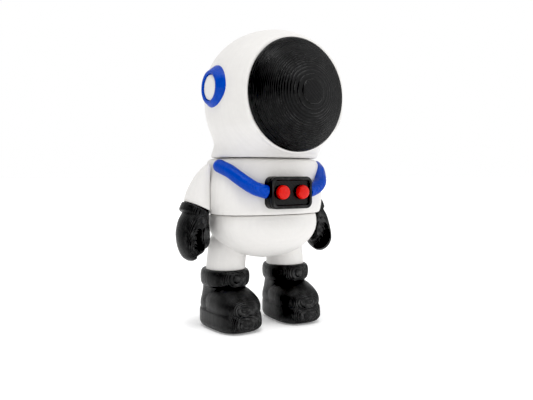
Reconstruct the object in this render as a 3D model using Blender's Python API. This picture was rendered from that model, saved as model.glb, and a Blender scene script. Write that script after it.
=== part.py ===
"""Small 3-D printed astronaut figure, built as separate pressed-together pieces.

Drawn in millimetres, written in metres.  The figure faces -Y, its left hand is at +X, +Z is up and the
soles stand on Z = 0.  Every piece was printed lying on its back, so the backs are cut flat at BACK.
"""
import bpy
import bmesh
import math
from mathutils import Matrix, Vector

for old in list(bpy.data.objects):
    bpy.data.objects.remove(old, do_unlink=True)

MM = 0.001
SHIFT_Y = 2.965         # moves the whole figure so that its bounding box is centred on Y = 0
BACK = 6.2              # flat printed backs
SEAM = 0.06             # half of the visible gap at the neck and waist seams
FIT = 0.14              # clearance of a peg in its socket
SEG = 28                # points round a moulded section

NECK_Z = 25.15
WAIST_Z = 16.9
AXIS_Y = 0.3            # neck and waist pegs stand on this line
PEG_R = 2.9             # neck and waist peg
SIDE_X = 9.12           # flat side of the torso that an arm lies against
ARM_GAP = 0.12

HEAD_Y, HEAD_Z = -2.13, 34.9
HEAD_R, HEAD_TOP = 10.22, 44.0
VISOR_Y, VISOR_Z = -8.18, 33.97
VISOR_R, VISOR_DOME = 8.05, 3.95
EAR_X = 9.75

SHOULDER_Y, SHOULDER_Z = 2.75, 20.7
ARM_X = 9.41
WRIST_TILT = math.radians(25.5)
CUFF_X, CUFF_Y, CUFF_R, CUFF_H = 9.99, 2.96, 2.46, 1.35

BOX_W, BOX_H, BOX_Z = 6.98, 4.6, 20.17
BOX_FRONT, BOX_BACK = -7.14, -4.2
BUTTON_X, BUTTON_Z, BUTTON_R = 1.67, 20.25, 1.0
HOSE_R = 0.96

LEG_X, LEG_Y, LEG_R = 5.16, 2.9, 2.95
LEG_END = 8.2
BOOT_X, BOOT_Y = 5.45, 2.62    # ankle axis, the legs lean out to it
TOE_IN = math.radians(3.5)
SOLE_X, SOLE_Y = 0.07, -1.72   # centre of the sole seen from the ankle axis, before the toe-in

parts = bpy.data.collections.new("astronaut_figure")
tools = bpy.data.collections.new("tools")
for c in (parts, tools):
    bpy.context.scene.collection.children.link(c)


def material(name, colour, roughness):
    mat = bpy.data.materials.new(name)
    mat.use_nodes = True
    bsdf = mat.node_tree.nodes["Principled BSDF"]
    bsdf.inputs["Base Color"].default_value = (*colour, 1.0)
    bsdf.inputs["Roughness"].default_value = roughness
    mat.diffuse_color = (*colour, 1.0)
    return mat


WHITE = (0.80, 0.79, 0.77)
BLACK = (0.012, 0.012, 0.013)
BLUE = (0.006, 0.045, 0.42)
RED = (0.62, 0.02, 0.015)


def solid(name, rings, caps=True):
    """Closed skin through a list of rings that have the same number of points."""
    bm = bmesh.new()
    rows = [[bm.verts.new(Vector(p) * MM) for p in ring] for ring in rings]
    n = len(rows[0])
    for lower, upper in zip(rows, rows[1:]):
        for i in range(n):
            j = (i + 1) % n
            bm.faces.new((lower[i], lower[j], upper[j], upper[i]))
    if caps:
        bm.faces.new(rows[0][::-1])
        bm.faces.new(rows[-1])
    bmesh.ops.recalc_face_normals(bm, faces=bm.faces)
    mesh = bpy.data.meshes.new(name)
    bm.to_mesh(mesh)
    bm.free()
    ob = bpy.data.objects.new(name, mesh)
    tools.objects.link(ob)
    return ob


def blend(rows, steps):
    """Catmull-Rom through the rows of numbers, steps pieces between neighbours."""
    out = []
    last = len(rows) - 1
    for i in range(last):
        a, b, c, d = (rows[max(i - 1, 0)], rows[i], rows[i + 1], rows[min(i + 2, last)])
        for k in range(steps):
            t = k / steps
            out.append([0.5 * (2 * q + (r - p) * t + (2 * p - 5 * q + 4 * r - s) * t * t
                               + (3 * q - p - 3 * r + s) * t ** 3) for p, q, r, s in zip(a, b, c, d)])
    return out + [list(rows[-1])]


def power(c, n):
    return math.copysign(abs(c) ** (2.0 / n), c)


def oval(z, xc, yc, a, front, back, n=2.0, nb=None, seg=SEG):
    """Horizontal rounded section, its front and back halves may differ."""
    pts = []
    for i in range(seg):
        t = 2 * math.pi * i / seg
        c, s = math.cos(t), math.sin(t)
        e = n if s < 0 else (nb or n)
        pts.append((xc + a * power(c, e), yc + (front if s < 0 else back) * power(s, e), z))
    return pts


def turned(name, profile, seg=SEG):
    """Solid of revolution about Z from (radius, height) pairs."""
    return solid(name, [[(r * math.cos(2 * math.pi * i / seg), r * math.sin(2 * math.pi * i / seg), z)
                         for i in range(seg)] for r, z in profile])


def move(ob, matrix):
    m = matrix.copy()
    m.translation = m.translation * MM
    ob.data.transform(m)
    if matrix.determinant() < 0:
        ob.data.flip_normals()
    return ob


def shift(x, y, z):
    return Matrix.Translation((x, y, z))


def turn(angle, axis):
    return Matrix.Rotation(angle, 4, axis)


def block(x0, x1, y0, y1, z0, z1):
    ob = solid("block", [[(x0, y0, z), (x1, y0, z), (x1, y1, z), (x0, y1, z)] for z in (z0, z1)])
    return ob


def combine(ob, tool, operation="DIFFERENCE"):
    """Boolean that is worked out at once, the tool is removed afterwards."""
    mod = ob.modifiers.new("cut", "BOOLEAN")
    mod.operation, mod.solver, mod.object = operation, "EXACT", tool
    deps = bpy.context.evaluated_depsgraph_get()
    mesh = bpy.data.meshes.new_from_object(ob.evaluated_get(deps))
    ob.modifiers.clear()
    ob.data = mesh
    bpy.data.objects.remove(tool, do_unlink=True)
    return ob


def cut(ob, tool):
    return combine(ob, tool)


def join(ob, tool):
    return combine(ob, tool, "UNION")


def flat_back(ob):
    return cut(ob, block(-30, 30, BACK, 30, -5, 60))


def finish(ob, name, mat, angle=32.0):
    """Clean the mesh, shade it, give it its own material and put it with the parts."""
    bm = bmesh.new()
    bm.from_mesh(ob.data)
    bmesh.ops.remove_doubles(bm, verts=bm.verts, dist=0.00001)
    bmesh.ops.dissolve_degenerate(bm, edges=bm.edges, dist=0.000005)
    bmesh.ops.recalc_face_normals(bm, faces=bm.faces)
    bm.to_mesh(ob.data)
    bm.free()
    ob.name = ob.data.name = name
    ob.data.materials.clear()
    ob.data.materials.append(material(name + "_mat", *mat))
    ob.data.shade_smooth()
    ob.data.set_sharp_from_angle(angle=math.radians(angle))
    ob.data.transform(Matrix.Translation((0, SHIFT_Y * MM, 0)))
    for c in list(ob.users_collection):
        c.objects.unlink(ob)
    parts.objects.link(ob)
    return ob


def pivot(ob, x, y, z):
    """Put the origin of a moving piece on its joint axis."""
    at = Vector((x, y + SHIFT_Y, z)) * MM
    ob.data.transform(Matrix.Translation(-at))
    ob.location = at
    return ob


def carry(child, parent):
    child.parent = parent
    child.matrix_parent_inverse = Matrix.Translation(-parent.location)


def helmet():
    body = [(NECK_Z + SEAM, 0, 0.1, 8.1, 5.1, 6.3, 2.3), (25.35, 0, 0.1, 8.4, 5.45, 6.5, 2.3),
            (25.8, 0, -0.1, 8.5, 5.75, 6.6, 2.2), (26.3, 0, -0.3, 8.52, 6.6, 6.9, 2.0),
            (27.2, 0, -0.9, 8.62, 7.5, 7.6, 1.88), (28.4, 0, -1.55, 9.12, 8.4, 8.4, 1.95),
            (29.6, 0, -1.95, 9.62, 9.4, 9.4, 2.0), (31.2, 0, -2.12, 10.06, 10.0, 10.0, 2.0),
            (33.0, 0, -2.13, 10.24, 10.24, 10.24, 2.0)]
    rows = blend(body, 2)
    rise = HEAD_TOP - HEAD_Z
    for k in range(1, 13):
        t = math.radians(k * 7.3)
        r = HEAD_R * math.cos(t)
        rows.append([HEAD_Z + rise * math.sin(t), 0, HEAD_Y, r, r, r, 2.0])
    ob = solid("helmet", [oval(*r, seg=40) for r in rows])
    ob = cut(ob, block(-12, 12, -20, VISOR_Y + 0.06, 20, 50))
    rim = turned("rim", [(VISOR_R - 0.5, -1.6), (VISOR_R + 0.2, -1.0), (VISOR_R + 0.24, -0.2),
                         (VISOR_R + 0.12, -0.06)], 40)
    ob = join(ob, move(rim, shift(0, VISOR_Y, VISOR_Z) @ turn(math.pi / 2, "X")))
    seat = move(turned("seat", [(7.1 + FIT, -1), (7.1 + FIT, 2.6)]),
                shift(0, VISOR_Y, VISOR_Z) @ turn(-math.pi / 2, "X"))
    ob = cut(ob, seat)
    ob = cut(ob, move(turned("socket", [(PEG_R + FIT, 20), (PEG_R + FIT, 28.3)]), shift(0, AXIS_Y, 0)))
    for s in (-1, 1):
        ear = turned("ear_seat", [(2.45 + FIT, -1.55), (2.45 + FIT, -0.52), (3.28, -0.52), (3.28, 3.0)])
        ob = cut(ob, move(ear, shift(s * EAR_X, HEAD_Y, HEAD_Z) @ turn(s * math.pi / 2, "Y")))
    ob = flat_back(ob)
    return pivot(finish(ob, "helmet", (WHITE, 0.5)), 0, AXIS_Y, NECK_Z)


def visor():
    ball = (VISOR_R ** 2 + VISOR_DOME ** 2) / (2 * VISOR_DOME)
    edge = math.asin(VISOR_R / ball)
    prof = [(7.1, -2.2), (7.1, 0.0), (VISOR_R - 0.12, 0.0), (VISOR_R, 0.12)]
    for k in range(1, 14):
        t = edge * (1 - k / 14)
        prof.append((ball * math.sin(t), 0.12 + (VISOR_DOME - 0.12) - ball * (1 - math.cos(t))))
    prof.append((0.25, VISOR_DOME - 0.003))
    ob = move(turned("visor", prof, 40), shift(0, VISOR_Y, VISOR_Z) @ turn(math.pi / 2, "X"))
    return finish(ob, "visor", (BLACK, 0.42))


def ear(s, side):
    ring = turned("ear", [(2.45, -1.4), (2.45, -0.42), (3.1, -0.42), (3.16, -0.25), (3.13, -0.08), (2.56, 0.7),
                          (2.34, 1.0), (2.2, 1.06), (2.0, 1.05)])
    bore = turned("bore", [(1.88, -0.6), (1.88, 3.0)])
    to_side = shift(s * (EAR_X + 0.02), HEAD_Y, HEAD_Z) @ turn(s * math.pi / 2, "Y")
    ring = finish(move(cut(ring, bore), to_side), "ear_ring_" + side, (BLUE, 0.4))
    plug = turned("plug", [(1.78, -0.45), (1.78, 0.74), (1.68, 0.87), (0.5, 0.91)], 24)
    return ring, finish(move(plug, to_side), "ear_plug_" + side, (WHITE, 0.5))


def torso():
    low, top = WAIST_Z + SEAM, NECK_Z - SEAM
    rows = [(low, 0, 0, 8.55, 5.0, 6.3, 2.4), (low + 0.14, 0, 0, 8.85, 5.2, 6.45, 2.4),
            (low + 0.7, 0, 0, 9.05, 5.35, 6.5, 2.4), (19.0, 0, 0, 9.25, 5.45, 6.6, 2.35),
            (21.3, 0, 0, 9.1, 5.45, 6.6, 2.35), (23.0, 0, 0, 8.85, 5.35, 6.5, 2.35),
            (24.3, 0, 0, 8.6, 5.15, 6.4, 2.35), (top - 0.22, 0, 0, 8.25, 4.85, 6.3, 2.35),
            (top, 0, 0, 7.7, 4.35, 6.0, 2.35)]
    ob = solid("torso", [oval(*r, nb=3.4, seg=40) for r in blend(rows, 2)])
    ob = cut(ob, block(-14, -SIDE_X, -12, 12, 10, 30))
    ob = cut(ob, block(SIDE_X, 14, -12, 12, 10, 30))
    ob = cut(ob, block(-BOX_W / 2 - 0.1, BOX_W / 2 + 0.1, -9, BOX_BACK + 0.1,
                       BOX_Z - BOX_H / 2 - 0.1, BOX_Z + BOX_H / 2 + 0.1))
    ob = cut(ob, move(turned("socket", [(PEG_R + FIT, 10), (PEG_R + FIT, 19.4)]), shift(0, AXIS_Y, 0)))
    neck = turned("neck", [(PEG_R, 22), (PEG_R, 27.8), (PEG_R - 0.3, 28.1)])
    ob = join(ob, move(neck, shift(0, AXIS_Y, 0)))
    for s in (-1, 1):
        peg = turned("arm_seat", [(1.1 + FIT, 6.1), (1.1 + FIT, 14)], 24)
        ob = cut(ob, move(peg, shift(0, SHOULDER_Y, SHOULDER_Z) @ turn(s * math.pi / 2, "Y")))
        ob = cut(ob, hose_tool(s, HOSE_R + 0.1))
    ob = flat_back(ob)
    return pivot(finish(ob, "torso", (WHITE, 0.5)), 0, AXIS_Y, WAIST_Z)


HOSE_PATH = [(8.35, -1.0, 23.9), (8.15, -1.95, 23.6), (7.8, -2.85, 23.2), (7.2, -3.9, 22.43),
             (6.45, -4.95, 21.6), (5.45, -5.5, 20.9), (4.4, -5.75, 20.5), (3.6, -5.85, 20.3)]


def hose_tool(s, radius):
    """Round bar along the hose path with a domed shoulder end; s picks the side."""
    path = blend(HOSE_PATH, 2)
    pts = [Vector((s * x, y, z)) for x, y, z in path]
    rings = []
    seg = 16
    for i, p in enumerate(pts):
        a, b = pts[max(i - 1, 0)], pts[min(i + 1, len(pts) - 1)]
        t = (b - a).normalized()
        u = t.cross(Vector((0, 0, 1))).normalized()
        v = u.cross(t)
        if i == 0:
            for k in (0.97, 0.8, 0.45):
                r = radius * math.sqrt(1 - k * k)
                rings.append([p - t * radius * k + u * r * math.cos(w) + v * r * math.sin(w)
                              for w in (2 * math.pi * j / seg for j in range(seg))])
        rings.append([p + u * radius * math.cos(w) + v * radius * math.sin(w)
                      for w in (2 * math.pi * j / seg for j in range(seg))])
    return solid("hose", rings)


def hose(s, side):
    ob = hose_tool(s, HOSE_R)
    inner, outer = BOX_W / 2 + 0.03, SIDE_X + 0.02
    ob = cut(ob, block(-inner, inner, -12, 12, 10, 30))
    ob = cut(ob, block(min(s * outer, s * 14), max(s * outer, s * 14), -12, 12, 10, 30))
    return finish(ob, "hose_" + side, (BLUE, 0.4))


def rounded_box(x, z, width, height, radius, y_front, y_back, edge):
    """Rounded rectangle facing -Y, its front edge softened by edge."""
    def ring(inset, y):
        pts = []
        r = max(radius - inset, 0.05)
        w, h = width / 2 - inset - r, height / 2 - inset - r
        for cx, cz, start in ((w, h, 0), (-w, h, 90), (-w, -h, 180), (w, -h, 270)):
            for k in range(6):
                t = math.radians(start + 18 * k)
                pts.append((x + cx + r * math.cos(t), y, z + cz + r * math.sin(t)))
        return pts
    rows = [ring(0, y_back), ring(0, y_front + edge)]
    rows += [ring(edge * (1 - math.cos(math.radians(a))), y_front + edge * (1 - math.sin(math.radians(a))))
             for a in (35, 65, 90)]
    return solid("box", rows)


def chest_box():
    ob = rounded_box(0, BOX_Z, BOX_W, BOX_H, 0.95, BOX_FRONT, BOX_BACK, 0.22)
    panel = rounded_box(0, BOX_Z, BOX_W - 1.1, BOX_H - 1.1, 0.6, -9, BOX_FRONT + 0.28, 0.01)
    ob = cut(ob, panel)
    for s in (-1, 1):
        bore = turned("bore", [(0.55 + FIT, -1), (0.55 + FIT, 1.7)], 20)
        ob = cut(ob, move(bore, shift(s * BUTTON_X, BOX_FRONT, BUTTON_Z) @ turn(-math.pi / 2, "X")))
    return finish(ob, "chest_box", (BLACK, 0.42))


def button(s, side):
    low = -0.28 + 0.05
    prof = [(0.55, low - 1.1), (0.55, low), (BUTTON_R - 0.04, low), (BUTTON_R, low + 0.06),
            (BUTTON_R, 0.2), (0.93, 0.42), (0.76, 0.58), (0.45, 0.68), (0.12, 0.71)]
    ob = move(turned("button", prof, 24), shift(s * BUTTON_X, BOX_FRONT, BUTTON_Z) @ turn(math.pi / 2, "X"))
    return finish(ob, "button_" + side, (RED, 0.35))


def wrist_frame(s):
    """Frame of the wrist: origin on the arm's lower face, local Z up the forearm."""
    z = wrist_z(CUFF_X)
    return shift(s * CUFF_X, CUFF_Y, z) @ turn(-s * WRIST_TILT, "Y")


def wrist_z(x):
    return 17.35 + (x - SIDE_X - ARM_GAP + 0.45) * math.tan(WRIST_TILT)


def inner_face(s):
    x = SIDE_X + ARM_GAP
    return block(min(0, s * x), max(0, s * x), -12, 12, 5, 30)


def arm(s, side):
    rows = [(14.5, 3.0, 2.31, 2.4), (18.8, 2.93, 2.31, 2.4), (19.7, 2.85, 2.19, 2.3), (20.55, 2.7, 1.95, 2.15),
            (21.4, 2.5, 1.6, 1.95), (22.3, 2.15, 1.16, 1.65), (23.14, 1.7, 0.66, 1.3),
            (23.8, 1.2, 0.22, 0.9), (24.2, 0.95, -0.05, 0.45)]
    rows = [(z, s * ARM_X, yc, a + 0.3, b, b) for z, yc, a, b in rows]
    ob = solid("arm", [oval(*r) for r in blend(rows, 2)])
    ob = cut(ob, inner_face(s))
    ob = cut(ob, move(block(-9, 9, -9, 9, -9, 0), wrist_frame(s)))
    peg = turned("peg", [(1.1, 6.4), (1.1, 11.0)], 24)
    ob = join(ob, move(peg, shift(0, SHOULDER_Y, SHOULDER_Z) @ turn(s * math.pi / 2, "Y")))
    ob = join(ob, move(turned("peg", [(0.9, -2.0), (0.9, 0.8)], 20), wrist_frame(s) @ shift(s * 0.25, 0, 0)))
    ob = flat_back(ob)
    return pivot(finish(ob, "arm_" + side, (WHITE, 0.5)), s * SIDE_X, SHOULDER_Y, SHOULDER_Z)


def glove(s, side):
    hand = [(17.6, 10.2, 2.75, 1.95, 2.1), (16.8, 10.45, 2.7, 2.2, 2.3), (16.0, 10.75, 2.65, 2.35, 2.4),
            (14.5, 11.1, 2.5, 2.4, 2.45), (13.2, 11.3, 2.2, 2.25, 2.45), (12.2, 11.45, 2.0, 1.95, 2.3),
            (11.4, 11.5, 1.95, 1.6, 1.9), (10.8, 11.6, 1.95, 1.1, 1.35), (10.35, 11.6, 1.95, 0.45, 0.6)]
    rows = [(z, s * x, y, a, b, b) for z, x, y, a, b in hand]
    ob = solid("hand", [oval(*r, seg=32) for r in blend(rows, 2)])
    palm = [(15.05, 11.2, -0.1, 0.2, 0.5), (14.8, 11.25, -0.1, 0.75, 1.0), (14.2, 11.3, 0.0, 1.1, 1.25),
            (13.2, 11.25, 0.05, 1.2, 1.4), (12.2, 11.1, 0.15, 1.05, 1.6), (11.4, 10.85, 0.3, 1.05, 1.9),
            (10.6, 10.5, 0.4, 1.15, 2.3), (9.8, 10.2, 0.4, 1.2, 2.5)]
    rows = [(z, s * x, y, a, b, b) for z, x, y, a, b in palm]
    ob = cut(ob, solid("palm", [oval(*r, seg=24) for r in blend(rows, 2)]))
    thumb = [(17.0, 10.1, 1.9, 0.5, 0.8), (16.4, 10.05, 1.7, 0.72, 1.05), (15.6, 10.0, 1.5, 0.84, 1.15),
             (14.4, 9.95, 1.35, 0.88, 1.18), (13.2, 9.92, 1.3, 0.88, 1.16), (12.5, 9.93, 1.35, 0.74, 0.98),
             (12.1, 9.95, 1.42, 0.5, 0.65), (11.9, 9.97, 1.45, 0.2, 0.25)]
    rows = [(z, s * x, y, a, b, b) for z, x, y, a, b in thumb]
    ob = join(ob, solid("thumb", [oval(*r, seg=24) for r in blend(rows, 2)]))
    r, h = CUFF_R, CUFF_H
    band = turned("band", [(r - 0.2, -h - 0.1), (r - 0.02, -h + 0.05), (r, -h + 0.25), (r, -0.35),
                           (r - 0.07, -0.2), (r - 0.25, -0.1)])
    ob = join(ob, move(band, wrist_frame(s)))
    ob = cut(ob, move(turned("socket", [(0.9 + FIT, -2.2), (0.9 + FIT, 3)], 20),
                      wrist_frame(s) @ shift(s * 0.25, 0, 0)))
    ob = cut(ob, inner_face(s))
    return finish(flat_back(ob), "glove_" + side, (BLACK, 0.42))


def pelvis():
    top = WAIST_Z - SEAM
    rows = [(top, 0, 0, 7.95, 4.7, 6.2, 2.4), (top - 0.12, 0, 0, 8.17, 4.87, 6.4, 2.4),
            (16.2, 0, 0, 8.3, 4.97, 6.5, 2.4), (15.5, 0, 0, 8.35, 5.0, 6.5, 2.4)]
    rows = blend(rows, 2)
    for k in range(1, 11):
        t = math.radians(k * 8.6)
        c = math.cos(t)
        rows.append([15.5 - 5.2 * math.sin(t), 0, 0, 8.35 * c, 5.0 * c, 6.5 * c, 2.4])
    ob = solid("pelvis", [oval(*r, nb=3.2, seg=40) for r in rows])
    ob = join(ob, move(turned("waist", [(PEG_R, 14), (PEG_R, 18.9), (PEG_R - 0.3, 19.2)]), shift(0, AXIS_Y, 0)))
    for s in (-1, 1):
        leg = [(LEG_END, BOOT_X, BOOT_Y, LEG_R - 0.15), (LEG_END + 0.15, BOOT_X, BOOT_Y, LEG_R - 0.05),
               (9.5, 5.35, 2.8, LEG_R), (11.0, LEG_X, LEG_Y, LEG_R), (12.0, LEG_X, LEG_Y, 2.86),
               (13.1, LEG_X, LEG_Y, 2.55), (14.0, LEG_X, LEG_Y, 2.05), (14.7, LEG_X, LEG_Y, 1.3),
               (15.0, LEG_X, LEG_Y, 0.5)]
        ob = join(ob, solid("leg", [oval(z, s * x, y, r, r, r) for z, x, y, r in leg]))
        peg = turned("peg", [(1.3, 5.5), (1.5, 5.8), (1.5, 10.0)], 24)
        ob = join(ob, move(peg, shift(s * BOOT_X, BOOT_Y, 0)))
    return finish(flat_back(ob), "pelvis", (WHITE, 0.5))


def boot(s, side):
    sole = [(0.0, 1.13), (0.03, 0.87), (0.1, 0.67), (0.22, 0.46), (0.4, 0.27), (0.62, 0.12), (0.9, 0.02), (1.13, 0.0),
            (2.5, 0.0), (2.7, 0.07), (2.8, 0.24)]
    ob = solid("sole", [oval(z, s * SOLE_X, SOLE_Y, 3.55 - i, 4.68 - i, 5.85, 3.1, nb=3.0, seg=40) for z, i in sole])
    vamp = [(2.6, 3.38, 4.35, 2.7), (3.0, 3.5, 4.5, 2.7), (3.7, 3.56, 4.56, 2.6), (4.4, 3.44, 4.25, 2.5),
            (5.0, 3.15, 3.75, 2.3), (5.5, 2.75, 3.1, 2.2), (5.95, 2.25, 2.3, 2.1), (6.25, 1.6, 1.5, 2.1),
            (6.4, 0.9, 0.7, 2.0)]
    ob = join(ob, solid("vamp", [oval(z, s * SOLE_X, SOLE_Y, a, f, 4.1, n, nb=2.4, seg=32)
                                 for z, a, f, n in blend(vamp, 2)]))
    heel = [(2.6, 3.2), (3.2, 3.34), (3.9, 3.3), (4.7, 3.05), (5.6, 2.86), (6.4, 2.82), (8.1, 2.82)]
    ob = join(ob, solid("heel", [oval(z, 0, 0, r, r * 0.95, 3.8, 2.0, nb=3.0) for z, r in heel]))
    cuff = [(6.12, 2.8), (6.16, 3.0), (6.3, 3.2), (6.55, 3.37), (6.9, 3.47), (7.4, 3.52), (7.9, 3.5), (8.25, 3.41),
            (8.5, 3.26), (8.64, 3.05), (8.67, 2.9)]
    ob = join(ob, solid("cuff", [oval(z, 0, 0, r, r, 3.9, 2.0, nb=2.5, seg=32) for z, r in cuff]))
    ob = cut(ob, turned("recess", [(LEG_R + 0.05, LEG_END - 0.12), (LEG_R + 0.05, 12)]))
    ob = cut(ob, turned("socket", [(1.5 + FIT, 5.3), (1.5 + FIT, 12)], 24))
    ob = move(ob, shift(s * BOOT_X, BOOT_Y, 0) @ turn(-s * TOE_IN, "Z"))
    ob = finish(flat_back(ob), "boot_" + side, (BLACK, 0.42))
    return pivot(ob, s * BOOT_X, BOOT_Y, LEG_END)


hips = pelvis()
chest = torso()
head = helmet()
box = chest_box()
carry(visor(), head)
carry(box, chest)
for sign, side_name in ((-1, "right"), (1, "left")):
    for piece in ear(sign, side_name):
        carry(piece, head)
    carry(hose(sign, side_name), chest)
    carry(button(sign, side_name), chest)
    limb = arm(sign, side_name)
    carry(glove(sign, side_name), limb)
    boot(sign, side_name)
bpy.data.collections.remove(tools)
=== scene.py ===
"""Looks of the printed astronaut figure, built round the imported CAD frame.

Everything is drawn in millimetres in the figure's own frame (it faces -Y, backs flat at BACK) and scaled and
shifted into the frame's metres at the end.  Each piece was printed lying on its back, so the printed layers
are planes of constant Y: they show as contour rings on what faces forward and as fine lines elsewhere.
"""
import bpy
import bmesh
import math
import numpy as np
from mathutils import Matrix, Vector


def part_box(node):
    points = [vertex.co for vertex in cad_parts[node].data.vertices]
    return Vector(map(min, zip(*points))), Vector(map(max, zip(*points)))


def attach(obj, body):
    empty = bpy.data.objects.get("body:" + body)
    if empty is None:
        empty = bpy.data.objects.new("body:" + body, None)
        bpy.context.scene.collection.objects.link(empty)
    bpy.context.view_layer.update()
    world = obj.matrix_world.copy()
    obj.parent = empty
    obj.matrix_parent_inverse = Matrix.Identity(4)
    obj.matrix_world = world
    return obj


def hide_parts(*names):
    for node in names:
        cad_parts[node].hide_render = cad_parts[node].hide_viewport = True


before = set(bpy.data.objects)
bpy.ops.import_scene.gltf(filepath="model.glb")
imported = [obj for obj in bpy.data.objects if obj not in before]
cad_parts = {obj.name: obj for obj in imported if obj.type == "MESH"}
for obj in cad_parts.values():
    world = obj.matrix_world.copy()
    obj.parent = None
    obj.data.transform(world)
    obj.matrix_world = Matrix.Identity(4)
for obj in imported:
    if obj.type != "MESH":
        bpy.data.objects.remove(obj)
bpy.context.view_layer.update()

MM = 0.001
BACK = 6.2            # flat back of every piece
SHIFT_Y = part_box("torso")[1][1] / MM - BACK
LAYER = 0.155         # one printed layer
LINE = 0.42           # one printed line of the infill
SEAM = 0.06           # half of the gap at the neck and the waist
NECK_Z, WAIST_Z = 25.15, 16.9
SIDE_X, ARM_GAP, ARM_X = 9.12, 0.12, 9.41
HEAD_Y, HEAD_Z, HEAD_R, HEAD_TOP = -2.13, 34.9, 10.22, 44.0
VISOR_Y, VISOR_Z, VISOR_R, VISOR_DOME = -8.18, 33.97, 8.05, 3.95
EAR_X = 9.77
WRIST_TILT = math.radians(25.5)
CUFF_X, CUFF_Y, CUFF_R, CUFF_H = 9.99, 2.96, 2.46, 1.35
BOX_W, BOX_H, BOX_Z, BOX_FRONT, BOX_BACK = 6.98, 4.6, 20.17, -7.14, -4.2
BUTTON_X, BUTTON_Z, BUTTON_R = 1.67, 20.25, 1.0
HOSE_R = 0.96
BELLY_Z, BELLY_DEEP = 15.5, 5.2
LEG_X, LEG_Y, LEG_R, LEG_END = 5.16, 2.9, 2.95, 8.2
BOOT_X, BOOT_Y, SOLE_X, SOLE_Y = 5.45, 2.62, 0.07, 0.9
SOLE_MID, SOLE_BULGE = 1.4, 0.42
TOE_IN = math.radians(3.5)

# ---------------------------------------------------------------- camera, light, stage
CAM_AZ = math.radians(-32.2)
CAM_DIST, CAM_H = 91.1, 22.75
LENS, LENS_SHIFT = 40.525, (0.00094, -0.04784)
scene = bpy.context.scene


def camera():
    """Level camera at the height of the waist, in front and to the figure's right."""
    cam = bpy.data.objects.new("camera", bpy.data.cameras.new("camera"))
    scene.collection.objects.link(cam)
    aside, ahead = CAM_DIST * math.sin(CAM_AZ), -CAM_DIST * math.cos(CAM_AZ)
    cam.location = Vector((aside, ahead + SHIFT_Y, CAM_H)) * MM
    cam.rotation_euler = (math.pi / 2, 0, CAM_AZ)
    cam.data.sensor_width = 36.0
    cam.data.lens = LENS
    cam.data.shift_x, cam.data.shift_y = LENS_SHIFT
    cam.data.clip_start, cam.data.clip_end = 0.005, 10.0
    scene.camera = cam
    scene.view_settings.view_transform = "Standard"
    scene.view_settings.look = "None"
    scene.view_settings.use_curve_mapping = True
    scene.view_settings.curve_mapping.black_level = (0.018, 0.018, 0.018)


def softbox(name, energy, angle, towards):
    """Soft distant light of that angular size; towards points at it."""
    lamp = bpy.data.lights.new(name, "SUN")
    lamp.energy, lamp.angle = energy, math.radians(angle)
    ob = bpy.data.objects.new(name, lamp)
    scene.collection.objects.link(ob)
    ob.rotation_mode = "QUATERNION"
    ob.rotation_quaternion = Vector(towards).to_track_quat("Z", "Y")


def studio():
    """White all round and above, darker on the side from which the figure is seen, white behind it."""
    world = bpy.data.worlds.new("studio")
    scene.world = world
    world.use_nodes = True
    tree = world.node_tree
    back = tree.nodes["Background"]
    coord = tree.nodes.new("ShaderNodeTexCoord")
    dot = tree.nodes.new("ShaderNodeVectorMath")
    dot.operation = "DOT_PRODUCT"
    dot.inputs[1].default_value = Vector((-0.82, -0.55, 0.12)).normalized()
    tree.links.new(coord.outputs["Generated"], dot.inputs[0])
    dark = tree.nodes.new("ShaderNodeMapRange")
    dark.interpolation_type = "SMOOTHSTEP"
    for socket, value in (("From Min", 0.35), ("From Max", 0.9), ("To Min", 0.94), ("To Max", 0.4)):
        dark.inputs[socket].default_value = value
    tree.links.new(dot.outputs["Value"], dark.inputs["Value"])
    path = tree.nodes.new("ShaderNodeLightPath")
    most = tree.nodes.new("ShaderNodeMath")
    most.operation = "MAXIMUM"
    tree.links.new(path.outputs["Is Camera Ray"], most.inputs[0])
    tree.links.new(dark.outputs["Result"], most.inputs[1])
    tree.links.new(most.outputs[0], back.inputs["Strength"])
    back.inputs["Color"].default_value = (1.0, 1.0, 1.0, 1.0)


camera()
softbox("top", 1.15, 16, (-0.2, -0.3, 0.93))
softbox("front", 0.5, 80, (0.35, -0.9, 0.3))
studio()

WHITE = (0.76, 0.745, 0.725)
BLACK = (0.0042, 0.0042, 0.0044)
BLUE = (0.001, 0.052, 0.42)
RED = (0.66, 0.016, 0.012)


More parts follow.
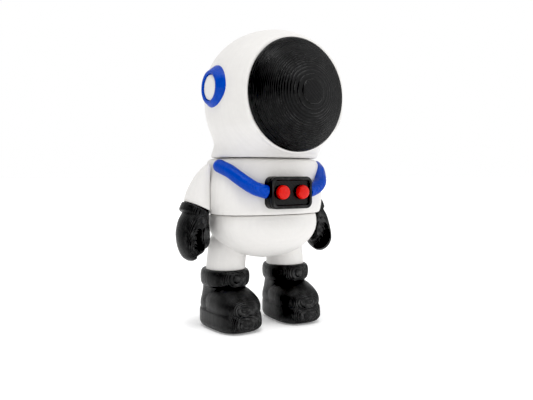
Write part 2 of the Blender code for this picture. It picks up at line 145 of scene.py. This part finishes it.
# ---------------------------------------------------------------- node helpers
class Nodes:
    """Short way to wire a material's nodes."""

    def __init__(self, name):
        self.mat = bpy.data.materials.new(name)
        self.mat.use_nodes = True
        self.tree = self.mat.node_tree
        self.bsdf = self.tree.nodes["Principled BSDF"]
        coords = self.tree.nodes.new("ShaderNodeTexCoord").outputs
        self.coord, self.normal = coords["Object"], coords["Normal"]

    def add(self, kind, inputs=(), **props):
        node = self.tree.nodes.new("ShaderNode" + kind)
        for k, v in props.items():
            setattr(node, k, v)
        for k, v in dict(inputs).items():
            self.link(v, node.inputs[k])
        return node

    def link(self, value, socket):
        if isinstance(value, bpy.types.NodeSocket):
            self.tree.links.new(value, socket)
        else:
            socket.default_value = value

    def math(self, op, a, b=0.0):
        return self.add("Math", {0: a, 1: b}, operation=op).outputs[0]

    def times(self, first, *others):
        for other in others:
            first = self.math("MULTIPLY", first, other)
        return first

    def plus(self, first, *others):
        for other in others:
            first = self.math("ADD", first, other)
        return first

    def ramp(self, value, low, high):
        return self.add("MapRange", {"Value": value, "From Min": low, "From Max": high},
                        interpolation_type="SMOOTHSTEP").outputs["Result"]

    def noise(self, vector, scale, detail=2.0, rough=0.5):
        return self.add("TexNoise", {"Vector": vector, "Scale": scale, "Detail": detail,
                                     "Roughness": rough}).outputs["Fac"]

    def scaled(self, vector, factors):
        return self.add("VectorMath", {0: vector, 1: factors}, operation="MULTIPLY").outputs["Vector"]

    def mix(self, factor, a, b):
        node = self.add("Mix", data_type="RGBA")
        for v, i in ((factor, 0), (a, 6), (b, 7)):
            self.link(v, node.inputs[i])
        return node.outputs[2]


def printed(name, colour, roughness, spec, line, tint, infill=0.5, scuff_and_highlight=(0.5, 0.5, 0.5), scuffs=0.0,
            rings=0.0):
    """Printed plastic: layer beads across Y, infill lines on the faces that look straight forward, and
    slight changes of tone from layer to layer.  line is the depth of a layer bead in mm, tint how far the
    tone wanders; the colour for scuffs is also the colour of a painted highlight along the layers' edges on
    surfaces that face forward, scuffs and rings their strengths."""
    n = Nodes(name)
    mm = n.scaled(n.coord, (1 / MM, 1 / MM, 1 / MM))
    x, y, z = n.add("SeparateXYZ", {0: mm}).outputs
    lean = n.add("SeparateXYZ", {0: n.normal}).outputs["Y"]
    facing = n.math("ABSOLUTE", lean)
    wobble = n.times(n.math("SUBTRACT", n.noise(mm, 0.35, 1.0), 0.5), 0.03)
    layer = n.math("DIVIDE", n.plus(n.math("SUBTRACT", BACK + SHIFT_Y, y), wobble), LAYER)
    part = n.math("FRACT", layer)
    across = n.math("ABSOLUTE", n.math("SUBTRACT", n.times(part, 2.0), 1.0))
    round_top = n.math("SUBTRACT", 1.0, n.math("POWER", across, 2.0))
    bead = n.math("SQRT", n.math("MAXIMUM", round_top, 0.0))
    side = n.math("SUBTRACT", 1.0, n.ramp(facing, 0.75, 0.95))
    layer_noise = n.noise(n.scaled(mm, (0.12, 3.1, 0.12)), 1.0, 3.0, 0.6)
    fine = n.noise(mm, 9.0, 3.0, 0.6)
    mottled = n.noise(mm, 1.6, 3.0, 0.55)

    diagonal = n.plus(n.times(x, 0.7071), n.times(z, 0.7071))
    stripe = n.math("ABSOLUTE", n.math("SINE", n.times(diagonal, math.pi / LINE)))
    flat = n.times(n.ramp(facing, 0.982, 0.996), infill)
    height = n.plus(n.times(bead, side, line), n.times(layer_noise, line * 1.6), n.times(fine, 0.012),
                    n.times(mottled, 0.03), n.times(stripe, flat, 0.035))
    bump = n.add("Bump", {"Height": n.times(height, MM), "Strength": 1.0, "Distance": 1.0})
    n.link(bump.outputs["Normal"], n.bsdf.inputs["Normal"])

    tone = n.plus(n.times(layer_noise, 0.6), n.times(mottled, 0.4))
    dark = tuple(c * (1.0 - tint) for c in colour) + (1.0,)
    light = tuple(min(c * (1.0 + tint), 1.0) for c in colour) + (1.0,)
    base = n.mix(n.ramp(tone, 0.3, 0.7), dark, light)
    if scuffs:
        scuff = n.ramp(n.noise(n.scaled(mm, (1.2, 2.4, 1.2)), 1.4, 4.0, 0.65), 0.66, 0.80)
        base = n.mix(n.times(scuff, scuffs), base, scuff_and_highlight + (1.0,))
    # painted highlight: a lighter colour on each layer's edge, in patches, on surfaces that face forward,
    # standing in for gloss catching the light on the printed steps
    if rings:
        edge = n.ramp(n.math("ABSOLUTE", n.math("SUBTRACT", part, 0.5)), 0.22, 0.5)
        highlight_patches = n.ramp(n.noise(mm, 1.1, 3.0, 0.6), 0.45, 0.65)
        forward = n.ramp(n.times(lean, -1.0), 0.35, 0.8)
        base = n.mix(n.times(edge, highlight_patches, forward, rings), base, scuff_and_highlight + (1.0,))
    n.link(base, n.bsdf.inputs["Base Color"])
    n.link(n.math("ADD", roughness - 0.08, n.times(layer_noise, 0.16)), n.bsdf.inputs["Roughness"])
    n.bsdf.inputs["Specular IOR Level"].default_value = spec
    return n.mat


white = printed("white_print", WHITE, 0.5, 0.35, 0.010, 0.02)
# rings sets the strength of the painted highlight on the layer edges of the black, dome and blue prints
black = printed("black_print", BLACK, 0.33, 0.3, 0.03, 0.3, scuff_and_highlight=(0.17, 0.17, 0.17), scuffs=0.22, rings=0.2)
dome = printed("black_dome", BLACK, 0.28, 0.26, 0.03, 0.3, scuff_and_highlight=(0.2, 0.2, 0.2), scuffs=0.2, rings=0.26)
blue = printed("blue_print", BLUE, 0.38, 0.25, 0.02, 0.12, scuff_and_highlight=(0.02, 0.1, 0.6), rings=0.3)
red = printed("red_print", RED, 0.38, 0.25, 0.012, 0.08, infill=1.0)
SLOTS = {"white": ("white_plastic", white), "black": ("black_plastic", black),
         "dome": ("black_plastic", dome), "blue": ("blue_plastic", blue), "red": ("red_plastic", red)}


def table():
    """Pale table top that fades into the background."""
    n = Nodes("floor")
    tone = n.mix(n.noise(n.coord, 900.0, 2.0), (0.93, 0.93, 0.93, 1), (0.95, 0.95, 0.95, 1))
    n.link(tone, n.bsdf.inputs["Base Color"])
    n.bsdf.inputs["Roughness"].default_value = 0.7
    n.bsdf.inputs["Emission Color"].default_value = (1, 1, 1, 1)
    n.bsdf.inputs["Emission Strength"].default_value = 0.2
    bpy.ops.mesh.primitive_plane_add(size=6.0, location=(0, 0, 0))
    floor = bpy.context.object
    floor.name = "floor"
    floor.data.materials.append(n.mat)


table()


# ---------------------------------------------------------------- mesh helpers
def mesh_object(name, points, faces):
    mesh = bpy.data.meshes.new(name)
    mesh.from_pydata([tuple(p) for p in points], [], faces)
    mesh.update()
    ob = bpy.data.objects.new(name, mesh)
    scene.collection.objects.link(ob)
    return ob


def solid(rings):
    """Closed skin through rings that have the same number of points, both ends capped."""
    rings = [np.asarray(r, dtype=float) for r in rings]
    n, m = len(rings[0]), len(rings)
    points = np.vstack(rings)
    i, k = np.arange(n), np.arange(m - 1)[:, None]
    j = (i + 1) % n
    quads = np.stack([k * n + i, k * n + j, (k + 1) * n + j, (k + 1) * n + i], -1).reshape(-1, 4)
    faces = quads.tolist() + [list(range(n))[::-1], list(range((m - 1) * n, m * n))]
    ob = mesh_object("piece", points, faces)
    bm = bmesh.new()
    bm.from_mesh(ob.data)
    bmesh.ops.recalc_face_normals(bm, faces=bm.faces)
    bm.to_mesh(ob.data)
    bm.free()
    return ob


def blend(rows, steps):
    """Catmull-Rom through rows of numbers."""
    rows = np.asarray(rows, dtype=float)
    ends = np.vstack([rows[:1], rows, rows[-1:]])
    out = []
    for i in range(len(rows) - 1):
        p, q, r, s = ends[i:i + 4]
        for k in range(steps):
            t = k / steps
            out.append(0.5 * (2 * q + (r - p) * t + (2 * p - 5 * q + 4 * r - s) * t * t
                              + (3 * q - p - 3 * r + s) * t ** 3))
    return out + [rows[-1]]


def power(c, n):
    """Cosine or sine raised for a superellipse: n = 2 is round, more is squarer."""
    return np.sign(c) * np.abs(c) ** (2.0 / n)


def oval(z, xc, yc, a, front, back, n=2.0, nb=None, seg=160):
    """Level ring of half width a and its own depth and squareness (n, nb) in front and behind."""
    t = 2 * math.pi * np.arange(seg) / seg
    c, s = np.cos(t), np.sin(t)
    e = np.where(s < 0, n, nb or n)
    depth = np.where(s < 0, front, back)
    return np.stack([xc + a * power(c, e), yc + depth * power(s, e), np.full(seg, z)], -1)


def turned(profile, seg=160):
    """Solid of revolution about Z from (radius, height) pairs."""
    t = 2 * math.pi * np.arange(seg) / seg
    return solid([np.stack([r * np.cos(t), r * np.sin(t), np.full(seg, z)], -1) for r, z in profile])


def move(ob, matrix):
    ob.data.transform(matrix)
    return ob


def shift(x, y, z):
    return Matrix.Translation((x, y, z))


def turn(angle, axis):
    return Matrix.Rotation(angle, 4, axis)


def trim(ob, point, normal):
    """Cut away what lies beyond a plane and close the cut."""
    bm = bmesh.new()
    bm.from_mesh(ob.data)
    geom = bm.verts[:] + bm.edges[:] + bm.faces[:]
    cut = bmesh.ops.bisect_plane(bm, geom=geom, dist=1e-5, plane_co=point, plane_no=normal, clear_outer=True)
    edges = [e for e in cut["geom_cut"] if isinstance(e, bmesh.types.BMEdge)]
    if edges:
        bmesh.ops.holes_fill(bm, edges=edges)
    bmesh.ops.recalc_face_normals(bm, faces=bm.faces)
    bm.to_mesh(ob.data)
    bm.free()
    return ob


def evaluated(ob):
    """Make what the modifiers give the object's own mesh."""
    mesh = bpy.data.meshes.new_from_object(ob.evaluated_get(bpy.context.evaluated_depsgraph_get()))
    ob.modifiers.clear()
    ob.data = mesh
    return ob


def carve(ob, tool):
    """Boolean difference, with the tool removed."""
    mod = ob.modifiers.new("carve", "BOOLEAN")
    mod.operation, mod.solver, mod.object = "DIFFERENCE", "EXACT", tool
    evaluated(ob)
    bpy.data.objects.remove(tool, do_unlink=True)
    return ob


def fuse(obs, voxel, smooth):
    """One skin round several overlapping closed meshes, softened smooth times."""
    points, faces = [], []
    for o in obs:
        offset = len(points)
        points += [v.co[:] for v in o.data.vertices]
        faces += [[i + offset for i in p.vertices] for p in o.data.polygons]
        bpy.data.objects.remove(o, do_unlink=True)
    ob = mesh_object("fused", points, faces)
    mod = ob.modifiers.new("skin", "REMESH")
    mod.mode, mod.voxel_size = "VOXEL", voxel
    mod = ob.modifiers.new("soften", "SMOOTH")
    mod.factor, mod.iterations = 0.5, smooth
    return evaluated(ob)


def smooth_step(x, low, high):
    t = np.clip((x - low) / (high - low), 0, 1)
    return t * t * (3 - 2 * t)


def terraces(ob, edge=0.32, low=0.42, high=0.7):
    """Turn what leans forward into printed steps of one layer each.  edge is the share of a layer that a
    riser takes; low and high are how far forward the surface faces where steps begin and are whole."""
    n = len(ob.data.vertices)
    co, no = np.empty(n * 3), np.empty(n * 3)
    ob.data.vertices.foreach_get("co", co)
    ob.data.vertex_normals.foreach_get("vector", no)
    co, no = co.reshape(-1, 3), no.reshape(-1, 3)
    t = (BACK - co[:, 1]) / LAYER
    k = np.floor(t)
    step = smooth_step(t - k, 0.5 - edge / 2, 0.5 + edge / 2)
    weight = smooth_step(np.abs(no[:, 1]), low, high)
    co[:, 1] = np.where(co[:, 1] < BACK - 0.05, co[:, 1] + weight * LAYER * (t - k - step), co[:, 1])
    ob.data.vertices.foreach_set("co", co.ravel())
    ob.data.update()
    return ob


def place(ob, name, kind, body, node, angle=40.0):
    """Scale into metres, shade, give the material, ride on the body and stand for the CAD node."""
    ob.name = ob.data.name = name
    ob.data.transform(Matrix.Scale(MM, 4) @ shift(0, SHIFT_Y, 0))
    ob.data.materials.clear()
    slot, mat = SLOTS[kind]
    ob.data.materials.append(mat)
    ob.data.shade_smooth()
    ob.data.set_sharp_from_angle(angle=math.radians(angle))
    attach(ob, body)
    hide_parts(node)


def flat_back(ob):
    return trim(ob, (0, BACK, 0), (0, 1, 0))


def facing_front(ob, x, y, z):
    """Stand a turned piece so that its axis looks along -Y from that point."""
    return move(ob, shift(x, y, z) @ turn(math.pi / 2, "X"))


def limb(rows, s, seg):
    """Rounded piece through rows of (height, x, y, half width, half depth), mirrored by s."""
    return solid([oval(z, s * x, y, a, b, b, seg=seg) for z, x, y, a, b in rows])


# ---------------------------------------------------------------- head
def helmet():
    body = [(NECK_Z + SEAM, 0, 0.1, 8.1, 5.1, 6.3, 2.3), (25.35, 0, 0.1, 8.4, 5.45, 6.5, 2.3),
            (25.8, 0, -0.1, 8.5, 5.75, 6.6, 2.2), (26.3, 0, -0.3, 8.52, 6.6, 6.9, 2.0),
            (27.2, 0, -0.9, 8.62, 7.5, 7.6, 1.88), (28.4, 0, -1.55, 9.12, 8.4, 8.4, 1.95),
            (29.6, 0, -1.95, 9.62, 9.4, 9.4, 2.0), (31.2, 0, -2.12, 10.06, 10.0, 10.0, 2.0),
            (33.0, 0, -2.13, 10.24, 10.24, 10.24, 2.0)]
    rows = blend(body, 8)
    rise = HEAD_TOP - HEAD_Z
    for k in range(1, 60):
        t = math.radians(k * 1.5)
        r = HEAD_R * math.cos(t)
        rows.append([HEAD_Z + rise * math.sin(t), 0, HEAD_Y, r, r, r, 2.0])
    shell = trim(solid([oval(*r) for r in rows]), (0, VISOR_Y + 0.06, 0), (0, -1, 0))
    rim = turned([(VISOR_R - 0.5, -1.6), (VISOR_R + 0.2, -1.0), (VISOR_R + 0.24, -0.2),
                  (VISOR_R + 0.12, -0.06)])
    facing_front(rim, 0, VISOR_Y, VISOR_Z)
    ob = flat_back(fuse([shell, rim], 0.13, 3))
    place(ob, "helmet_shell", "white", "head", "helmet")


def visor():
    """Dome in real printed steps: a riser at each layer, then a tread that runs in to the next."""
    ball = (VISOR_R ** 2 + VISOR_DOME ** 2) / (2 * VISOR_DOME)
    lowest = 0.1

    def radius(k):
        return math.sqrt(max(2 * ball * k * LAYER - (k * LAYER) ** 2, 0))

    prof = [(7.0, -2.0), (7.0, -0.02), (VISOR_R - 0.08, -0.02), (VISOR_R, 0.08)]
    for k in range(int(VISOR_DOME / LAYER), 0, -1):
        h0 = VISOR_DOME - k * LAYER
        h1 = h0 + LAYER
        if h0 < lowest:
            continue
        r0, r1 = radius(k), radius(k - 1)
        e = min(0.22 * (r0 - r1), 0.09)
        prof += [(r0 - 0.15 * e, h0 + 0.2 * LAYER), (r0 - 0.45 * e, h0 + 0.65 * LAYER),
                 (r0 - e, h0 + 0.9 * LAYER), (r0 - 1.8 * e, h1)]
        if k > 1:
            prof += [(r1 + 0.35 * e, h1 + 0.01 * LAYER)]
    prof.append((0.2, VISOR_DOME))
    ob = facing_front(turned([(min(r, VISOR_R), z) for r, z in prof], 256), 0, VISOR_Y, VISOR_Z)
    place(ob, "visor_dome", "dome", "head", "visor", angle=60.0)


def ears(s, side):
    to_side = shift(s * EAR_X, HEAD_Y, HEAD_Z) @ turn(s * math.pi / 2, "Y")
    ring = turned([(2.45, -1.4), (2.6, -0.45), (3.1, -0.42), (3.16, -0.25), (3.13, -0.08), (2.86, 0.3),
                   (2.56, 0.7), (2.4, 0.92), (2.32, 1.01), (2.2, 1.06), (2.02, 1.06), (1.92, 1.0),
                   (1.88, 0.9), (1.88, -0.6)], 96)
    place(move(ring, to_side), "ear_cone_" + side, "blue", "head", "ear_ring_" + side)
    plug = turned([(1.8, -0.45), (1.8, 0.72), (1.76, 0.82), (1.66, 0.88), (1.2, 0.9), (0.3, 0.91)], 24)
    place(move(plug, to_side), "ear_disc_" + side, "white", "head", "ear_plug_" + side, angle=30)


# ---------------------------------------------------------------- body
def torso():
    low, top = WAIST_Z + SEAM, NECK_Z - SEAM
    rows = [(low, 0, 0, 8.55, 5.0, 6.3, 2.4), (low + 0.14, 0, 0, 8.85, 5.2, 6.45, 2.4),
            (low + 0.7, 0, 0, 9.05, 5.35, 6.5, 2.4), (19.0, 0, 0, 9.25, 5.45, 6.6, 2.35),
            (21.3, 0, 0, 9.1, 5.45, 6.6, 2.35), (23.0, 0, 0, 8.85, 5.35, 6.5, 2.35),
            (24.3, 0, 0, 8.6, 5.15, 6.4, 2.35), (top - 0.22, 0, 0, 8.25, 4.85, 6.3, 2.35),
            (top, 0, 0, 7.7, 4.35, 6.0, 2.35)]
    ob = solid([oval(*r, nb=3.4, seg=200) for r in blend(rows, 8)])
    trim(ob, (-SIDE_X, 0, 0), (-1, 0, 0))
    trim(ob, (SIDE_X, 0, 0), (1, 0, 0))
    place(flat_back(ob), "torso_shell", "white", "upper", "torso")


def pelvis():
    top = WAIST_Z - SEAM
    wide, front, back = 8.35, 5.0, 6.5
    rows = [(top, 0, 0, 7.95, 4.7, 6.2, 2.4), (top - 0.12, 0, 0, 8.17, 4.87, 6.4, 2.4),
            (16.2, 0, 0, 8.3, 4.97, back, 2.4), (BELLY_Z, 0, 0, wide, front, back, 2.4)]
    rows = blend(rows, 8)
    for k in range(1, 45):
        t = math.radians(k * 2.0)
        c = math.cos(t)
        rows.append([BELLY_Z - BELLY_DEEP * math.sin(t), 0, 0, wide * c, front * c, back * c, 2.4])
    obs = [solid([oval(*r, nb=3.2) for r in rows])]
    for s in (-1, 1):
        leg = [(LEG_END - 0.8, 5.42, LEG_R), (9.5, 5.33, LEG_R), (11.0, LEG_X, LEG_R), (12.0, LEG_X, 2.86),
               (13.1, LEG_X, 2.55), (14.0, LEG_X, 2.05), (14.7, LEG_X, 1.3), (15.0, LEG_X, 0.5)]
        obs.append(solid([oval(z, s * x, LEG_Y, r, r, r, seg=96) for z, x, r in blend(leg, 6)]))
    place(flat_back(fuse(obs, 0.09, 1)), "pelvis_legs", "white", "lower", "pelvis")


def wrist_frame(s):
    """Where the tilted cuff's upper rim sits; its axis runs along the lower arm."""
    z = 17.35 + (CUFF_X - SIDE_X - ARM_GAP + 0.45) * math.tan(WRIST_TILT)
    return shift(s * CUFF_X, CUFF_Y, z) @ turn(-s * WRIST_TILT, "Y")


def arm(s, side):
    rows = [(14.5, 3.0, 2.31, 2.4), (18.8, 2.93, 2.31, 2.4), (19.7, 2.85, 2.19, 2.3),
            (20.55, 2.7, 1.95, 2.15), (21.4, 2.5, 1.6, 1.95), (22.3, 2.15, 1.16, 1.65),
            (23.14, 1.7, 0.66, 1.3), (23.8, 1.2, 0.22, 0.9), (24.2, 0.95, -0.05, 0.45)]
    rows = [(z, ARM_X, y, a + 0.3, b) for z, y, a, b in rows]
    ob = limb(blend(rows, 8), s, 160)
    trim(ob, (s * (SIDE_X + ARM_GAP), 0, 0), (-s, 0, 0))
    w = wrist_frame(s)
    trim(ob, w.translation, w.to_3x3() @ Vector((0, 0, -1)))
    place(flat_back(ob), "sleeve_" + side, "white", side + "_arm", "arm_" + side)


def glove(s, side):
    hand = [(17.6, 10.2, 2.75, 1.95, 2.1), (16.8, 10.45, 2.7, 2.2, 2.3), (16.0, 10.75, 2.65, 2.35, 2.4),
            (14.5, 11.1, 2.5, 2.4, 2.45), (13.2, 11.3, 2.2, 2.25, 2.45), (12.2, 11.45, 2.0, 1.95, 2.3),
            (11.4, 11.5, 1.95, 1.6, 1.9), (10.8, 11.6, 1.95, 1.1, 1.35), (10.35, 11.6, 1.95, 0.45, 0.6)]
    scoop = [(15.05, 11.2, -0.2, 0.2, 0.4), (14.8, 11.25, -0.2, 0.65, 0.8), (14.2, 11.35, -0.15, 0.95, 1.0),
             (13.2, 11.35, -0.1, 1.0, 1.15), (12.2, 11.15, 0.05, 0.88, 1.3), (11.4, 10.7, 0.2, 0.85, 1.55),
             (10.6, 10.2, 0.35, 0.85, 1.75), (9.8, 9.8, 0.4, 0.85, 1.8)]
    obs = [carve(limb(blend(hand, 8), s, 96), limb(blend(scoop, 5), s, 64))]
    thumb = [(17.0, 10.1, 1.9, 0.5, 0.8), (16.4, 10.1, 1.6, 0.82, 1.1), (15.6, 10.1, 1.38, 0.98, 1.22),
             (14.4, 10.08, 1.22, 1.02, 1.25), (13.2, 10.03, 1.2, 0.98, 1.22), (12.5, 9.98, 1.28, 0.8, 1.0),
             (12.1, 9.97, 1.4, 0.52, 0.66), (11.9, 9.97, 1.45, 0.2, 0.25)]
    obs.append(limb(blend(thumb, 8), s, 64))
    r, h = CUFF_R, CUFF_H
    band = [(r - 0.2, -h - 0.1), (r - 0.02, -h + 0.05), (r, -h + 0.25), (r, -0.35), (r - 0.07, -0.2),
            (r - 0.25, -0.1)]
    obs.append(move(turned(blend(band, 4)), wrist_frame(s)))
    ob = fuse(obs, 0.06, 5)
    trim(ob, (s * (SIDE_X + ARM_GAP), 0, 0), (-s, 0, 0))
    ob = terraces(flat_back(ob))
    place(ob, "mitten_" + side, "black", side + "_arm", "glove_" + side)


# ---------------------------------------------------------------- chest
HOSE_PATH = [(8.5, -1.1, 23.95), (8.2, -2.0, 23.6), (7.8, -2.85, 23.2), (7.2, -3.9, 22.43),
             (6.45, -4.95, 21.6), (5.45, -5.5, 20.9), (4.4, -5.75, 20.5), (3.6, -5.85, 20.3)]


def hose(s, side):
    """Round pipe along the path, with half a ball at the shoulder end."""
    path = [Vector((s * x, y, z)) for x, y, z in blend(HOSE_PATH, 14)]
    t = 2 * math.pi * np.arange(64) / 64
    rings = []
    for i, p in enumerate(path):
        a, b = path[max(i - 1, 0)], path[min(i + 1, len(path) - 1)]
        along = (b - a).normalized()
        u = along.cross(Vector((0, 0, 1))).normalized()
        v = u.cross(along)
        u, v, q = (np.array(w[:]) for w in (u, v, p))
        turns = np.outer(np.cos(t), u) + np.outer(np.sin(t), v)
        if i == 0:
            for k in np.cos(np.radians(np.arange(4, 90, 6))):
                rings.append(q - np.array(along[:]) * HOSE_R * k + turns * HOSE_R * math.sqrt(1 - k * k))
        rings.append(q + turns * HOSE_R)
    ob = terraces(solid(rings), edge=0.5)
    trim(ob, (s * (BOX_W / 2 + 0.03), 0, 0), (-s, 0, 0))
    place(ob, "air_hose_" + side, "blue", "upper", "hose_" + side)


def rounded_box(z, width, height, radius, rows, seg=12):
    """Rounded rectangle facing -Y; rows are (inset, y) from the back to the front."""
    rings = []
    for inset, y in rows:
        r = max(radius - inset, 0.05)
        w, h = width / 2 - inset - r, height / 2 - inset - r
        ring = []
        for cx, cz, start in ((w, h, 0), (-w, h, 90), (-w, -h, 180), (w, -h, 270)):
            for k in range(seg):
                t = math.radians(start + 90.0 * k / (seg - 1))
                ring.append((cx + r * math.cos(t), y, z + cz + r * math.sin(t)))
        rings.append(ring)
    return solid(rings)


def chest_box():
    f = BOX_FRONT
    rows = [(0.12, BOX_BACK), (0, BOX_BACK + 0.1), (0, f + 0.75), (0.07, f + 0.7), (0.07, f + 0.6),
            (0, f + 0.55), (0, f + 0.22), (0.02, f + 0.12), (0.08, f + 0.04), (0.18, f), (0.42, f),
            (0.5, f + 0.05), (0.55, f + 0.14), (0.58, f + 0.28), (0.9, f + 0.28), (1.6, f + 0.28)]
    ob = rounded_box(BOX_Z, BOX_W, BOX_H, 0.95, rows)
    place(ob, "control_box", "black", "upper", "chest_box")


def button(s, side):
    prof = [(BUTTON_R - 0.04, -0.24), (BUTTON_R, -0.18), (BUTTON_R, 0.0), (BUTTON_R - 0.01, 0.2),
            (0.95, 0.36), (0.86, 0.49), (0.72, 0.59), (0.52, 0.66), (0.3, 0.69), (0.08, 0.7)]
    ob = facing_front(turned(blend(prof, 3), 64), s * BUTTON_X, BOX_FRONT, BUTTON_Z)
    place(ob, "red_button_" + side, "red", "upper", "button_" + side)


# ---------------------------------------------------------------- boots
def sole(s, y):
    rows = [(0.0, 1.13), (0.03, 0.87), (0.1, 0.67), (0.22, 0.46), (0.4, 0.27), (0.62, 0.12), (0.9, 0.02),
            (1.13, 0.0), (1.8, 0.0), (2.45, 0.0), (2.62, 0.03), (2.74, 0.1), (2.8, 0.24)]
    rings = []
    for z, inset in blend(rows, 4):
        front = 4.76 - inset - SOLE_BULGE * abs(z / SOLE_MID - 1) ** 2.2
        rings.append(oval(z, s * SOLE_X, y, 3.55 - inset, front, 5.85, 2.9, nb=3.0, seg=160))
    return solid(rings)


def boot(s, side):
    y = SOLE_Y - BOOT_Y
    obs = [sole(s, y)]
    vamp = [(2.6, 3.38, 4.35, 2.7), (3.0, 3.5, 4.5, 2.7), (3.7, 3.56, 4.56, 2.6), (4.4, 3.44, 4.25, 2.5),
            (5.0, 3.15, 3.75, 2.3), (5.5, 2.75, 3.1, 2.2), (5.95, 2.25, 2.3, 2.1), (6.25, 1.6, 1.5, 2.1),
            (6.4, 0.9, 0.7, 2.0)]
    obs.append(solid([oval(z, s * SOLE_X, y, a, front, 4.1, n, nb=2.4, seg=160)
                      for z, a, front, n in blend(vamp, 8)]))
    heel = [(2.6, 3.2), (3.2, 3.34), (3.9, 3.3), (4.7, 3.05), (5.6, 2.86), (6.4, 2.82), (8.2, 2.82)]
    obs.append(solid([oval(z, 0, 0, r, r * 0.95, 3.8, 2.0, nb=3.0, seg=128) for z, r in blend(heel, 8)]))
    cuff = [(6.12, 2.8), (6.16, 3.0), (6.3, 3.2), (6.55, 3.37), (6.9, 3.47), (7.4, 3.52), (7.9, 3.5),
            (8.25, 3.41), (8.5, 3.26), (8.64, 3.05), (8.67, 2.9)]
    obs.append(solid([oval(z, 0, 0, r, r, 3.9, 2.0, nb=2.5, seg=128) for z, r in blend(cuff, 4)]))
    ob = fuse(obs, 0.07, 1)
    move(ob, shift(s * BOOT_X, BOOT_Y, 0) @ turn(-s * TOE_IN, "Z"))
    ob = terraces(flat_back(ob))
    place(ob, "space_boot_" + side, "black", side + "_boot", "boot_" + side)


helmet()
visor()
torso()
pelvis()
chest_box()
for sign, name in ((-1, "right"), (1, "left")):
    ears(sign, name)
    arm(sign, name)
    glove(sign, name)
    hose(sign, name)
    button(sign, name)
    boot(sign, name)
